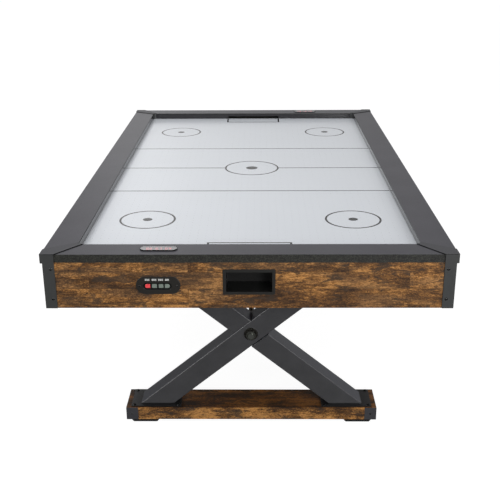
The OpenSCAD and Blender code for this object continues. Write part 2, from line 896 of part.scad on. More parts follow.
// Button-head bolts: down through the foot plates, up through the top plates
module leg_plate_bolts() {
  color(black) for (sy = [-1, 1], sx = [-1, 1], x = [-1, 1], y = [-1, 1]) {
    translate([sx * (foot_x + plate_shift) + x * bolt_dx, sy * frame_y + y * bolt_dy,
               beam_z + plate_t]) button_bolt();
    translate([sx * (top_x + plate_shift) + x * bolt_dx, sy * frame_y + y * bolt_dy,
               leg_z1]) rotate([180, 0, 0]) button_bolt();
  }
}

module button_bolt() {
  difference() {
    dome(7.5, 4);
    translate([0, 0, 1.5]) linear_extrude(4) hexagon(5);
  }
  translate([0, 0, -bolt_len]) cylinder(r = bolt_r, h = bolt_len, $fn = 24);
}

// ---- Base ----

module base_screw_places() {
  z = pad_h + base_h / 2;
  for (s = [-1, 1], t = [-1, 1]) {
    translate([s * (base_l - strap_w) / 2, t * base_d / 2, z]) rotate([-90 * t, 0, 0]) children();
    translate([s * base_l / 2, t * base_d / 4, z]) rotate([0, 90 * s, 0]) children();
  }
}

module base_beam() {
  color(rustic) translate([0, frame_y, 0]) difference() {
    block([strap_t - base_l / 2, strap_t - base_d / 2, pad_h],
          [base_l / 2 - strap_t, base_d / 2 - strap_t, beam_z]);
    plate_bolt_holes();
    base_screw_places() translate([0, 0, -screw_len])
      cylinder(r = screw_r, h = screw_len + e, $fn = 24);
  }
}

// U-shaped strap round each end of each beam
module base_end_straps() {
  color(charcoal) for (a = [0, 180]) rotate([0, 0, a]) translate([0, frame_y, 0])
    difference() {
      for (s = [-1, 1]) translate([0, 0, pad_h]) linear_extrude(base_h) difference() {
        translate([s * (base_l - strap_w) / 2, 0]) square([strap_w, base_d], center = true);
        square([base_l - 2 * strap_t, base_d - 2 * strap_t], center = true);
      }
      base_screw_places() cylinder(r = screw_r, h = 20, center = true, $fn = 24);
    }
}

module base_strap_screws() {
  color(black) for (a = [0, 180]) rotate([0, 0, a]) translate([0, frame_y, 0])
    base_screw_places() screw(strap_screw_head_r, strap_screw_head_h, screw_r, screw_len);
}

pad_l = 98;
pad_d = 118;
pad_x = 388.6;
pad_chamfer = 6.6;
module foot_pads() {
  w = pad_l / 2;
  color(black) for (sx = [-1, 1], sy = [-1, 1]) translate([sx * pad_x, sy * frame_y, 0])
    slab(-pad_d / 2, pad_d / 2)
      polygon([[-w, pad_h], [-w, pad_chamfer], [pad_chamfer - w, 0],
               [w - pad_chamfer, 0], [w, pad_chamfer], [w, pad_h]]);
}

// ---- Every node ----

playfield();
playfield_ribs();
bottom_panel();
support_cleats();
mirror([1, 0, 0]) side_rail();  // side_rail_left
side_rail();  // side_rail_right
front() end_rail();  // end_rail_front
rear() end_rail();  // end_rail_rear
mirror([1, 0, 0]) side_wall();  // side_wall_left
side_wall();  // side_wall_right
front() end_wall();  // end_wall_front
rear() end_wall();  // end_wall_rear
front() corner_cap();  // corner_cap_front_left
mirror([0, 1, 0]) corner_cap();  // corner_cap_front_right
mirror([1, 0, 0]) corner_cap();  // corner_cap_rear_left
corner_cap();  // corner_cap_rear_right
corner_cap_screws();
apron_front();
apron_rear();
mirror([1, 0, 0]) side_apron();  // apron_left
side_apron();  // apron_right
front() leg_beam();  // leg_beam_front
rear() leg_beam();  // leg_beam_rear
front() puck_return();  // puck_return_front
rear() puck_return();  // puck_return_rear
front() goal_chute();  // goal_chute_front
rear() goal_chute();  // goal_chute_rear
goal_sensors();
control_panel();
power_button();
start_button();
sound_button();
mode_button();
control_board();
control_screws();
front() score_cup();  // score_cup_front
rear() score_cup();  // score_cup_rear
front() score_board();  // score_board_front
rear() score_board();  // score_board_rear
front() score_lens();  // score_lens_front
rear() score_lens();  // score_lens_rear
blower_housing();
blower_motor();
motor_shaft();
blower_impeller();
intake_grille();
blower_screws();
power_inlet();
wiring_harness();
leg_rising_front();
leg_falling_front();
leg_rising_rear();
leg_falling_rear();
tie_rod();
leg_plate_bolts();
front() base_beam();  // base_beam_front
rear() base_beam();  // base_beam_rear
base_end_straps();
base_strap_screws();
foot_pads();
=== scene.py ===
"""Looks of the air hockey table: softened edges, materials, printed markings, displays,
light, floor and camera. Lengths are in metres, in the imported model's own frame."""

import json
import math

import bmesh
import bpy
from mathutils import Matrix, Vector


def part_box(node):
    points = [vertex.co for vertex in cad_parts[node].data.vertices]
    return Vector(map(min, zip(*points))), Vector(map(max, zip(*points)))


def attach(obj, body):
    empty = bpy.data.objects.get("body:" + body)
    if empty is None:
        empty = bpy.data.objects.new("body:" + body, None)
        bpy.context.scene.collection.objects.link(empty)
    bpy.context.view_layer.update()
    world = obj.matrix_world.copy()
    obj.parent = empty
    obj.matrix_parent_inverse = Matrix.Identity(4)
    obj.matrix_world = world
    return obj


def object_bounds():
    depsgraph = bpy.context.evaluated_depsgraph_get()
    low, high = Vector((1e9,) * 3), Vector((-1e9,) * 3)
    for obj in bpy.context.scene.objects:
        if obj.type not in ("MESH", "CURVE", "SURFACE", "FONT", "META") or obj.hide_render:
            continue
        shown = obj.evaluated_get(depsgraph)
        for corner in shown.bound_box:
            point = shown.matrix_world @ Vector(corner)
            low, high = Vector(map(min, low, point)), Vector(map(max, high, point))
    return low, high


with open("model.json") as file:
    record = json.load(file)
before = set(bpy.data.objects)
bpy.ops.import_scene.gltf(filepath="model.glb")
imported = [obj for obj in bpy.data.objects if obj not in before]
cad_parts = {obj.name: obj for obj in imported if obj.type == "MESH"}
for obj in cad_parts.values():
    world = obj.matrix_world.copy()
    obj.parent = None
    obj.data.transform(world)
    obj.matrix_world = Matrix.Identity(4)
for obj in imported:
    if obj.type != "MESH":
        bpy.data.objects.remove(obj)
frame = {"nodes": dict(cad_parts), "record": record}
cad_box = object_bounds()
MM = 0.001


# ---- Camera, light and floor ----

# Where the camera stands, how it is turned, and its lens in millimetres on a 36 mm sensor
CAMERA_PLACE = (0.0291, -3.3593, 1.6842)
CAMERA_DOWN = math.radians(20.53)
CAMERA_YAW = math.radians(0.65)
CAMERA_ROLL = math.radians(-0.28)
CAMERA_LENS = 61.09
SENSOR_WIDTH = 36

# A softbox's place, the point it faces, its size, and its power in watts
SOFTBOXES = {
    "key": ((-0.9, -0.2, 3.6), (0, 0, 0.7), (3.0, 3.0), 44),
    "fill_right": ((2.3, -4.9, 1.7), (0.3, -1, 0.5), (2.6, 2.0), 150),
    "fill_left": ((-3.0, -4.4, 1.6), (-0.2, -1, 0.5), (0.9, 1.8), 54),
    "glint_left": ((-3.2, -1.8, 2.8), (0, -0.6, 0.35), (1.0, 1.0), 24)}

# Brightness of the surroundings by how far a direction points up, and by how far it points to +X
WORLD_BY_HEIGHT = (
    (0.00, 0.14), (0.06, 0.44), (0.15, 0.60), (0.20, 0.74),
    (0.25, 0.90), (0.36, 0.66), (0.60, 0.72), (1.0, 0.98))
WORLD_BY_SIDE = (
    (0.0, 0.56), (0.26, 0.54), (0.335, 1.80), (0.42, 1.22), (0.52, 0.94),
    (0.66, 0.78), (0.85, 0.74))

FLOOR_SIZE = 80
DOME_RADIUS = 38
FLOOR_GAP = 0.4 * MM


def add_camera():
    """A camera at the height and distance of someone standing off the control-panel end."""
    data = bpy.data.cameras.new("camera")
    data.lens = CAMERA_LENS
    data.sensor_width = SENSOR_WIDTH
    camera = bpy.data.objects.new("camera", data)
    bpy.context.scene.collection.objects.link(camera)
    turn = (Matrix.Rotation(CAMERA_YAW, 4, "Z")
            @ Matrix.Rotation(math.pi / 2 - CAMERA_DOWN, 4, "X")
            @ Matrix.Rotation(CAMERA_ROLL, 4, "Z"))
    camera.matrix_world = Matrix.Translation(CAMERA_PLACE) @ turn
    bpy.context.scene.camera = camera


def add_softbox(name, place, target, size, power):
    """A large rectangular lamp that faces target."""
    data = bpy.data.lights.new(name, "AREA")
    data.shape = "RECTANGLE"
    data.size, data.size_y = size
    data.energy = power
    lamp = bpy.data.objects.new(name, data)
    bpy.context.scene.collection.objects.link(lamp)
    aim = (Vector(target) - Vector(place)).to_track_quat("-Z", "Y")
    lamp.matrix_world = Matrix.Translation(place) @ aim.to_matrix().to_4x4()


def studio_world():
    """Soft surroundings: bright behind and above the table, dim in front of it and below."""
    world = bpy.data.worlds.new("studio")
    bpy.context.scene.world = world
    world.use_nodes = True
    glow = Nodes(world.node_tree)
    toward = glow.node("SeparateXYZ", {"Vector": glow.coordinates("Generated")})
    height = glow.ramp(toward.outputs["Z"], [(place, grey(light)) for place, light in WORLD_BY_HEIGHT])
    depth = glow.span(toward.outputs["Y"], -0.4, 0.7, 0.45, 1.0)
    sideways = glow.span(toward.outputs["X"], -0.5, 0.5)
    side = glow.ramp(sideways, [(place, grey(light)) for place, light in WORLD_BY_SIDE])
    strength = glow.math("MULTIPLY", glow.math("MULTIPLY", height, depth), side)
    glow.feed(world.node_tree.nodes["Background"].inputs["Strength"], strength)
    world.node_tree.nodes["Background"].inputs["Color"].default_value = grey(1.0)


def add_backdrop():
    """A pale floor that takes soft shadows, inside a white dome. Neither lights the table."""
    bpy.ops.mesh.primitive_plane_add(size=FLOOR_SIZE, location=(0, 0, cad_box[0].z - FLOOR_GAP))
    floor = bpy.context.object
    floor.name = "floor"
    floor.data.materials.append(stage_paint("floor_paint", 0.22, 0.93))
    bpy.ops.mesh.primitive_uv_sphere_add(segments=48, ring_count=24, radius=DOME_RADIUS)
    dome = bpy.context.object
    dome.name = "dome"
    dome.data.materials.append(stage_paint("dome_paint", 0.0, 1.0))
    for backdrop in (floor, dome):
        backdrop.visible_diffuse = False
        backdrop.visible_glossy = False
        backdrop.visible_shadow = False


def add_studio():
    """Soft surroundings, a pale backdrop, and softboxes, of which the last only makes glints."""
    studio_world()
    add_backdrop()
    for name, settings in SOFTBOXES.items():
        add_softbox(name, *settings)
    bpy.data.objects["glint_left"].visible_diffuse = False
    bpy.context.scene.view_settings.view_transform = "Standard"


# ---- Materials ----

def paint(red, green, blue):
    """A colour from its 0-255 display values."""
    def linear(value):
        """The linear share of light that a display value stands for."""
        share = value / 255
        return share / 12.92 if share <= 0.04045 else ((share + 0.055) / 1.055) ** 2.4
    return (linear(red), linear(green), linear(blue), 1)


def grey(value):
    """A neutral colour from its linear value."""
    return (value, value, value, 1)


class Nodes:
    """A node tree being put together. Each helper returns an output that can feed another one."""

    def __init__(self, tree):
        self.tree = tree

    def coordinates(self, kind):
        """One of the texture coordinate outputs."""
        return self.node("TexCoord", {}).outputs[kind]

    def feed(self, socket, value):
        """Links an output to a socket, or sets a plain value on it."""
        if isinstance(value, bpy.types.NodeSocket):
            self.tree.links.new(value, socket)
        else:
            socket.default_value = value

    def node(self, kind, inputs, **settings):
        """A new shader node with its settings and inputs."""
        made = self.tree.nodes.new("ShaderNode" + kind)
        for key, value in settings.items():
            setattr(made, key, value)
        for key, value in inputs.items():
            self.feed(made.inputs[key], value)
        return made

    def noise(self, place, scale=1.0, detail=4.0, roughness=0.55, distortion=0.0):
        """Noise at a place, 0 to 1, with about scale cells a metre."""
        inputs = {"Vector": place, "Scale": scale, "Detail": detail,
                  "Roughness": roughness, "Distortion": distortion}
        return self.node("TexNoise", inputs).outputs["Fac"]

    def span(self, value, low, high, to_low=0.0, to_high=1.0):
        """value, mapped from low..high to to_low..to_high and held there."""
        inputs = {"Value": value, "From Min": low, "From Max": high,
                  "To Min": to_low, "To Max": to_high}
        return self.node("MapRange", inputs, clamp=True).outputs["Result"]

    def math(self, operation, first, second=0.0):
        """One arithmetic step."""
        return self.node("Math", {0: first, 1: second}, operation=operation).outputs[0]

    def mixed(self, share, first, second, blend="MIX"):
        """The colour first, with second blended in by share."""
        inputs = {0: share, 6: first, 7: second}
        return self.node("Mix", inputs, data_type="RGBA", blend_type=blend).outputs[2]

    def ramp(self, value, stops):
        """A colour ramp; stops are (position, colour) pairs."""
        made = self.node("ValToRGB", {"Fac": value})
        band = made.color_ramp
        while len(band.elements) < len(stops):
            band.elements.new(1.0)
        for element, (position, colour) in zip(band.elements, stops):
            element.position = position
            element.color = colour
        return made.outputs["Color"]


class Finish(Nodes):
    """A material being put together round one Principled shader."""

    def __init__(self, name, roughness=0.5, sockets=None):
        self.material = bpy.data.materials.new(name)
        self.material.use_nodes = True
        super().__init__(self.material.node_tree)
        self.shader = self.tree.nodes["Principled BSDF"]
        self.place = self.coordinates("Object")
        self.rough(roughness)
        for key, value in (sockets or {}).items():
            self.feed(self.shader.inputs[key], value)

    def stretched(self, x, y, z):
        """The object's own coordinates, multiplied along each axis."""
        inputs = {"Vector": self.place, "Scale": (x, y, z)}
        return self.node("Mapping", inputs).outputs["Vector"]

    def along(self, axis):
        """The object's own coordinate along one axis."""
        return self.node("SeparateXYZ", {"Vector": self.place}).outputs[axis]

    def facing(self):
        """The parts of the surface's direction, by axis."""
        normal = self.node("NewGeometry", {}).outputs["Normal"]
        return self.node("SeparateXYZ", {"Vector": normal}).outputs

    def up(self):
        """1 on faces that look up, 0 on the others."""
        return self.span(self.facing()["Z"], 0.75, 0.9)

    def bump(self, height, distance, strength=1.0):
        """Raises the surface by height times distance."""
        inputs = {"Height": height, "Distance": distance, "Strength": strength}
        self.feed(self.shader.inputs["Normal"], self.node("Bump", inputs).outputs["Normal"])

    def colour(self, value):
        """Sets the surface's colour."""
        self.feed(self.shader.inputs["Base Color"], value)

    def rough(self, value):
        """Sets the surface's roughness."""
        self.feed(self.shader.inputs["Roughness"], value)


def stage_paint(name, white, light):
    """Matt paint that gives back some light of its own, so that shadows on it stay pale."""
    made = Finish(name, 0.9, {"Emission Strength": light, "Specular IOR Level": 0.0})
    made.colour(grey(white))
    made.shader.inputs["Emission Color"].default_value = grey(1.0)
    return made.material


def rustic_laminate(name, along, joints=1.0, haziness=0.34, tones=(0.431, 0.565), top_shade=grey(1.0)):
    """Smoked rustic board, its grain along one axis: clouds, streaks, flecks, knots and saw marks.
    joints is how strongly the printed planks show, haziness how grey its hazy patches are, and
    tones the noise levels of its darkest and lightest wood. top_shade darkens faces that look up, a
    painted shade. The colour is also painted a little lighter towards +X, as painted light."""
    made = Finish(name, 0.5, {"Specular IOR Level": 0.30})
    split = made.node("SeparateXYZ", {"Vector": made.place})
    length, side = ("X", "Y") if along == "x" else ("Y", "X")
    height = made.math("ADD", split.outputs[side], split.outputs["Z"])
    flat = made.node("CombineXYZ", {"X": split.outputs[length], "Y": height})
    planks = made.node("TexBrick", {
        "Vector": flat.outputs[0], "Scale": 1.0, "Brick Width": 0.47, "Row Height": 0.0515,
        "Mortar Size": 0.0006, "Mortar Smooth": 0.6, "Color1": grey(0.0), "Color2": grey(1.0),
        "Mortar": grey(0.5)}, offset=0.38)
    step = 0.05 * joints
    own = made.node("VectorMath", {0: planks.outputs["Color"], 1: (step, step, step), 2: made.place},
                    operation="MULTIPLY_ADD").outputs[0]

    def grain(lengthwise, across, shift=0.0):
        """Coordinates for a pattern of so many cells a metre along the grain and across it."""
        spread = {"x": (lengthwise, across, across), "y": (across, lengthwise, across)}[along]
        inputs = {"Vector": own, "Scale": spread, "Location": (shift, shift, shift)}
        return made.node("Mapping", inputs).outputs["Vector"]

    clouds = made.noise(grain(7, 22), detail=5, roughness=0.62, distortion=0.2)
    streaks = made.noise(grain(30, 150, 3.1), detail=5, roughness=0.65)
    flecks = made.noise(grain(150, 360, 7.7), detail=4, roughness=0.70)
    specks = made.noise(grain(340, 640, 4.4), detail=3, roughness=0.75)
    fibres = made.noise(grain(46, 1100, 1.3), detail=2)
    saw = made.noise(grain(520, 70, 5.5), detail=2)

    tone = made.math("MULTIPLY", clouds, 0.33)
    for layer, share in ((streaks, 0.21), (flecks, 0.26), (specks, 0.20)):
        tone = made.math("ADD", tone, made.math("MULTIPLY", layer, share))
    # painted light: the colour grows a little lighter towards +X
    tone = made.math("ADD", tone, made.math("MULTIPLY", split.outputs["X"], 0.018))
    tone = made.span(tone, *tones)
    wood = made.ramp(tone, [
        (0.00, paint(55, 39, 27)), (0.30, paint(87, 60, 36)), (0.55, paint(119, 81, 45)),
        (0.78, paint(154, 106, 56)), (1.00, paint(198, 142, 79))])
    haze = made.noise(grain(4.5, 15, 9.2), detail=4, roughness=0.6, distortion=0.5)
    haze = made.span(haze, 0.50, 0.58)
    hazy = made.mixed(tone, paint(84, 66, 50), paint(130, 103, 76))
    wood = made.mixed(made.math("MULTIPLY", haze, haziness), wood, hazy)
    sparks = made.noise(grain(70, 360, 6.6), detail=3, roughness=0.65)
    lit = made.math("MULTIPLY", made.span(sparks, 0.55, 0.64), made.span(clouds, 0.46, 0.56))
    wood = made.mixed(made.math("MULTIPLY", lit, 0.70), wood, paint(218, 160, 96))
    shade = made.noise(grain(11, 34, 11.9), detail=6, roughness=0.66, distortion=0.8)
    smoke = made.span(shade, 0.55, 0.59)
    through = made.span(specks, 0.44, 0.62, 0.86, 0.58)
    wood = made.mixed(made.math("MULTIPLY", smoke, through), wood, paint(60, 50, 42))
    dark_line = made.span(fibres, 0.30, 0.48, 0.38, 0.0)
    wood = made.mixed(dark_line, wood, paint(36, 27, 20))
    cell = made.node("TexVoronoi", {"Vector": grain(5.5, 13, 2.2), "Randomness": 1.0})
    knot = made.span(cell.outputs["Distance"], 0.04, 0.14, 1.0, 0.0)
    wood = made.mixed(made.math("MULTIPLY", knot, 0.75), wood, paint(34, 27, 21))
    seam = made.math("MULTIPLY", planks.outputs["Fac"], 0.5 * joints)
    wood = made.mixed(seam, wood, paint(34, 26, 20))
    # painted shade on faces that look up, by top_shade
    shaded = made.mixed(1.0, wood, top_shade, blend="MULTIPLY")
    made.colour(made.mixed(made.up(), wood, shaded))
    made.rough(made.span(streaks, 0.3, 0.7, 0.40, 0.58))
    relief = made.math("ADD", made.math("MULTIPLY", fibres, 0.7), made.math("MULTIPLY", saw, 0.3))
    made.bump(relief, 0.25 * MM, 0.6)
    return made.material


def rail_laminate():
    """Charcoal foil: plain and silky on top, mottled on the edges, and painted black as shade in the seams
    at the caps.
    """
    made = Finish("rail_laminate", 0.38, {"Specular Tint": (0.93, 0.92, 1.0, 1)})
    mottle = made.noise(made.place, 360, 4, 0.75)
    clouds = made.noise(made.place, 9, 3)
    grit = made.noise(made.place, 2600, 2)
    top = made.mixed(made.span(clouds, 0.35, 0.65), paint(46, 45, 52), paint(53, 52, 59))
    edge = made.ramp(mottle, [
        (0.36, paint(22, 22, 20)), (0.5, paint(44, 44, 40)), (0.66, paint(76, 77, 70))])
    height = made.along("Z")
    rail_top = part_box("side_rail_left")[1].z
    # painted shade: the foil is painted black just below its top, in the seams at the caps
    seam_shade = made.span(height, rail_top - 1.4 * MM, rail_top - 0.9 * MM, 1.0, 0.0)
    top = made.mixed(seam_shade, top, paint(3, 3, 3))
    made.colour(made.mixed(made.up(), edge, top))
    made.rough(made.span(grit, 0.3, 0.7, 0.32, 0.44))
    made.bump(grit, 0.06 * MM, 0.5)
    return made.material


def moulded(name, dark, light, roughness, scale=1400.0, depth=0.08 * MM):
    """Moulded plastic or powder paint: two close shades and a fine texture."""
    made = Finish(name)
    clouds = made.noise(made.place, 14, 4, 0.6)
    grit = made.noise(made.place, scale, 3, 0.6)
    blend = made.math("ADD", made.math("MULTIPLY", clouds, 0.6), made.math("MULTIPLY", grit, 0.4))
    made.colour(made.ramp(blend, [(0.35, dark), (0.65, light)]))
    made.rough(made.span(grit, 0.3, 0.7, roughness - 0.06, roughness + 0.06))
    made.bump(grit, depth, 0.6)
    return made.material


# The grid of air holes
HOLE_PITCH = 25.4 * MM
HOLE_RADIUS = 0.6 * MM


def field_laminate():
    """Glossy white sheet with a grid of small air holes, each painted as a dark disc of shade."""
    made = Finish("field_laminate", 0.24)
    clouds = made.noise(made.place, 5, 3)
    white = made.mixed(clouds, paint(215, 219, 225), paint(219, 223, 229))
    per_metre = 1 / HOLE_PITCH
    steps = made.node("VectorMath", {0: made.place, 1: (per_metre, per_metre, 0)}, operation="MULTIPLY")
    cell = made.node("VectorMath", {0: steps.outputs[0]}, operation="FRACTION")
    from_centre = made.node("VectorMath", {0: cell.outputs[0], 1: (0.5, 0.5, 0)}, operation="SUBTRACT")
    reach = made.node("VectorMath", {0: from_centre.outputs[0]}, operation="LENGTH").outputs["Value"]
    edge = HOLE_RADIUS / HOLE_PITCH
    # painted shade: each hole is a dark disc on the faces that look up
    hole_shade = made.math("MULTIPLY", made.span(reach, edge, edge * 1.3, 1.0, 0.0), made.up())
    made.colour(made.mixed(hole_shade, white, paint(40, 42, 45)))
    return made.material


def fibreboard():
    """Bare fibreboard, mottled brown."""
    made = Finish("fibreboard", 0.8)
    flakes = made.noise(made.place, 320, 5, 0.75)
    made.colour(made.ramp(flakes, [
        (0.3, paint(112, 86, 58)), (0.5, paint(150, 120, 86)), (0.7, paint(178, 150, 114))]))
    made.bump(flakes, 0.3 * MM, 0.5)
    return made.material


def smoked_acrylic():
    """Glossy grey sheet that lets bright digits through, its sides painted black as shade."""
    made = Finish("smoked_acrylic", 0.08, {
        "Coat Weight": 1.0, "Coat Roughness": 0.04, "Coat IOR": 1.9, "Alpha": 0.68, "IOR": 2.2})
    haze = made.noise(made.place, 60, 3)
    top = made.mixed(haze, paint(122, 119, 124), paint(134, 131, 136))
    # painted shade: faces that don't look up are black
    made.colour(made.mixed(made.up(), paint(8, 8, 9), top))
    return made.material


def circuit_board():
    """Green board with lighter tracks."""
    made = Finish("circuit_board", 0.35)
    tracks = made.node("TexBrick", {"Vector": made.place, "Scale": 300.0, "Mortar Size": 0.03,
                                    "Color1": paint(20, 74, 42), "Color2": paint(16, 66, 37),
                                    "Mortar": paint(72, 130, 84)})
    made.colour(tracks.outputs["Color"])
    made.bump(tracks.outputs["Fac"], 0.05 * MM)
    return made.material


def brushed_steel(name, dark, light):
    """Plated metal with fine brushed lines."""
    made = Finish(name, 0.35, {"Metallic": 1.0})
    lines = made.noise(made.stretched(60, 60, 2400), detail=3)
    made.colour(made.mixed(lines, dark, light))
    made.rough(made.span(lines, 0.3, 0.7, 0.26, 0.42))
    return made.material


def leg_paint():
    """Fine charcoal powder paint, with painted shade on the foot plates, painted light on the upper
    flanks, lighter and cooler, and a painted highlight along the upper corners, more so on the legs that
    rise to +X."""
    made = Finish("leg_paint")
    clouds = made.noise(made.place, 14, 4, 0.6)
    grit = made.noise(made.place, 1100, 3, 0.6)
    blend = made.math("ADD", made.math("MULTIPLY", clouds, 0.6), made.math("MULTIPLY", grit, 0.4))
    body = made.ramp(blend, [(0.35, paint(63, 63, 65)), (0.65, paint(73, 73, 75))])
    height = made.along("Z")
    foot_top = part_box("base_beam_front")[1].z + 4 * MM
    # painted shade: the foot plates, up to a little over their top, are dark
    above = made.span(height, foot_top + 0.5 * MM, foot_top + 3 * MM)
    facing = made.facing()
    endways = made.math("MULTIPLY", facing["Y"], facing["Y"])
    aside = made.math("SUBTRACT", 1.0, endways)
    upward = made.span(facing["Z"], 0.25, 0.45)
    # painted light: flanks that look up take a lighter, cooler colour
    flank_light = made.math("MULTIPLY", made.span(aside, 0.8, 0.95), upward)
    body = made.mixed(flank_light, body, paint(80, 81, 88))
    # painted highlight along the upper corners, stronger where the flank looks to -X
    corner = made.math("MULTIPLY", made.math("MULTIPLY", endways, aside), 4.0)
    edge_highlight = made.math("MULTIPLY", made.span(corner, 0.35, 0.85), upward)
    edge_highlight = made.math("MULTIPLY", edge_highlight, made.span(facing["X"], -0.2, 0.2, 0.65, 0.05))
    body = made.mixed(edge_highlight, body, paint(150, 150, 153))
    made.colour(made.mixed(above, paint(24, 24, 25), body))
    made.rough(made.span(grit, 0.3, 0.7, 0.27, 0.39))
    made.bump(grit, 0.04 * MM, 0.6)
    return made.material


def cap_plastic():
    """Charcoal moulding, its top painted darker and cooler than its sides as shade, and shaded in the step
    round its top plate.
    """
    made = Finish("cap_plastic", 0.43, {"Specular Tint": (0.95, 0.94, 1.0, 1)})
    grit = made.noise(made.place, 1400, 3, 0.6)
    clouds = made.noise(made.place, 14, 4, 0.6)
    blend = made.math("MULTIPLY", made.math("ADD", clouds, grit), 0.5)
    side = made.mixed(blend, paint(50, 51, 50), paint(66, 67, 66))
    # painted shade: faces that look up take a darker, cooler colour than the sides
    body = made.mixed(made.up(), side, made.mixed(blend, paint(42, 42, 46), paint(56, 56, 60)))
    height = made.along("Z")
    plate_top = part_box("corner_cap_front_left")[1].z
    step = made.span(height, plate_top - 2.3 * MM, plate_top - 2.0 * MM)
    beside = made.math("SUBTRACT", 1.0, made.up())
    shadow = made.math("MULTIPLY", step, made.math("MULTIPLY", beside, 0.85))
    made.colour(made.mixed(shadow, body, paint(12, 12, 12)))
    made.rough(made.span(grit, 0.3, 0.7, 0.40, 0.52))
    made.bump(grit, 0.08 * MM, 0.6)
    return made.material


def bezel_plastic():
    """Black moulding, with painted shade on every face behind the bezel's front face, the button well among
    them.
    """
    made = Finish("bezel_plastic")
    grit = made.noise(made.place, 1400, 3, 0.6)
    depth = made.along("Y")
    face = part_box("control_panel")[0].y
    # painted shade: faces deeper than the front face are near-black
    outside_well_shade = made.span(depth, face + 0.4 * MM, face + 0.9 * MM, 1.0, 0.0)
    skin = made.mixed(grit, paint(34, 33, 31), paint(42, 40, 37))
    made.colour(made.mixed(outside_well_shade, paint(7, 7, 7), skin))
    made.rough(made.span(grit, 0.3, 0.7, 0.30, 0.42))
    made.bump(grit, 0.08 * MM, 0.6)
    return made.material


def trough_plastic(edge):
    """Black moulding, painted dark as shade inside the cabinet and lighter outside its end faces, at Y edge
    and -edge.
    """
    made = Finish("black_plastic")
    grit = made.noise(made.place, 1400, 3, 0.6)
    along = made.along("Y")
    # painted shade: everything inside the end faces is darker than outside them
    outside = made.span(made.math("ABSOLUTE", along), edge - 4 * MM, edge, 0.0, 1.0)
    inside = made.mixed(grit, paint(9, 9, 9), paint(17, 16, 15))
    made.colour(made.mixed(outside, inside, made.mixed(grit, paint(30, 30, 29), paint(38, 37, 35))))
    made.rough(made.span(grit, 0.3, 0.7, 0.34, 0.46))
    made.bump(grit, 0.08 * MM, 0.6)
    return made.material


def black_oxide(end):
    """Blackened steel, worn, with its lightest spots painted on as highlights; the rod's ends, at Y end and
    -end, are left brighter.
    """
    made = Finish("black_oxide", 0.24, {"Metallic": 0.6})
    wear_and_glints = made.noise(made.place, 420, 4, 0.7)
    along = made.along("Y")
    bare = made.span(made.math("ABSOLUTE", along), end - 6.5 * MM, end - 5.5 * MM, 0.0, 1.0)
    # wear mottling, whose lightest spots are painted highlights
    skin = made.ramp(wear_and_glints, [
        (0.38, paint(30, 30, 29)), (0.54, paint(58, 57, 53)), (0.64, paint(120, 117, 106))])
    made.colour(made.mixed(bare, skin, made.mixed(wear_and_glints, paint(92, 95, 90), paint(116, 118, 112))))
    made.bump(wear_and_glints, 0.1 * MM, 0.5)
    return made.material


def lit_segment():
    """A digit's segment, lit from inside, its brightness varying a little."""
    made = Finish("lit_segment", 0.4, {"Emission Strength": 1.8})
    glow = made.noise(made.place, 900, 2)
    red = made.mixed(glow, paint(255, 70, 84), paint(255, 104, 112))
    made.colour(paint(150, 20, 24))
    made.feed(made.shader.inputs["Emission Color"], red)
    return made.material


def ink(name, dark, light, roughness):
    """Screen-printed ink, slightly uneven."""
    made = Finish(name, roughness)
    made.colour(made.mixed(made.noise(made.place, 700, 4, 0.7), dark, light))
    return made.material


def make_finishes():
    """The finish for each of the record's material slots."""
    return {
        "rail_laminate": rail_laminate(),
        "wall_plastic": moulded("wall_plastic", paint(38, 37, 40), paint(48, 47, 50), 0.17, 900, 0.03 * MM),
        "cap_plastic": cap_plastic(),
        "rustic_laminate": rustic_laminate("rustic_laminate", "x"),
        "fibreboard": fibreboard(),
        "field_laminate": field_laminate(),
        "black_plastic": trough_plastic(-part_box("apron_front")[0].y),
        "bezel_plastic": bezel_plastic(),
        "button_red": moulded("button_red", paint(232, 66, 72), paint(246, 94, 98), 0.34, 700),
        "button_grey": moulded("button_grey", paint(116, 126, 118), paint(130, 140, 132), 0.38, 700),
        "circuit_board": circuit_board(),
        "smoked_acrylic": smoked_acrylic(),
        "motor_steel": brushed_steel("motor_steel", paint(140, 142, 146), paint(190, 192, 196)),
        "black_screws": moulded("black_screws", paint(9, 9, 9), paint(17, 17, 16), 0.25),
        "leg_paint": leg_paint(),
        "strap_paint": moulded("strap_paint", paint(58, 58, 62), paint(68, 68, 72), 0.46, 1100),
        "foot_rubber": moulded("foot_rubber", paint(5, 4, 4), paint(11, 9, 8), 0.75, 800),
        "cable_pvc": moulded("cable_pvc", paint(20, 20, 21), paint(30, 30, 31), 0.40, 500)}


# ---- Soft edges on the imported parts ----

# How far each finish's edges are rounded, in millimetres
EDGE_ROUND = {
    "rail_laminate": 0.5, "wall_plastic": 0.5, "cap_plastic": 0.5, "rustic_laminate": 0.6,
    "fibreboard": 0.5, "field_laminate": 0.0, "black_plastic": 0.4, "bezel_plastic": 0.7,
    "button_red": 0.8, "button_grey": 0.8, "circuit_board": 0.2, "smoked_acrylic": 0.4,
    "motor_steel": 0.4, "black_screws": 0.3, "leg_paint": 0.5, "strap_paint": 0.5,
    "foot_rubber": 1.5, "cable_pvc": 0.0}


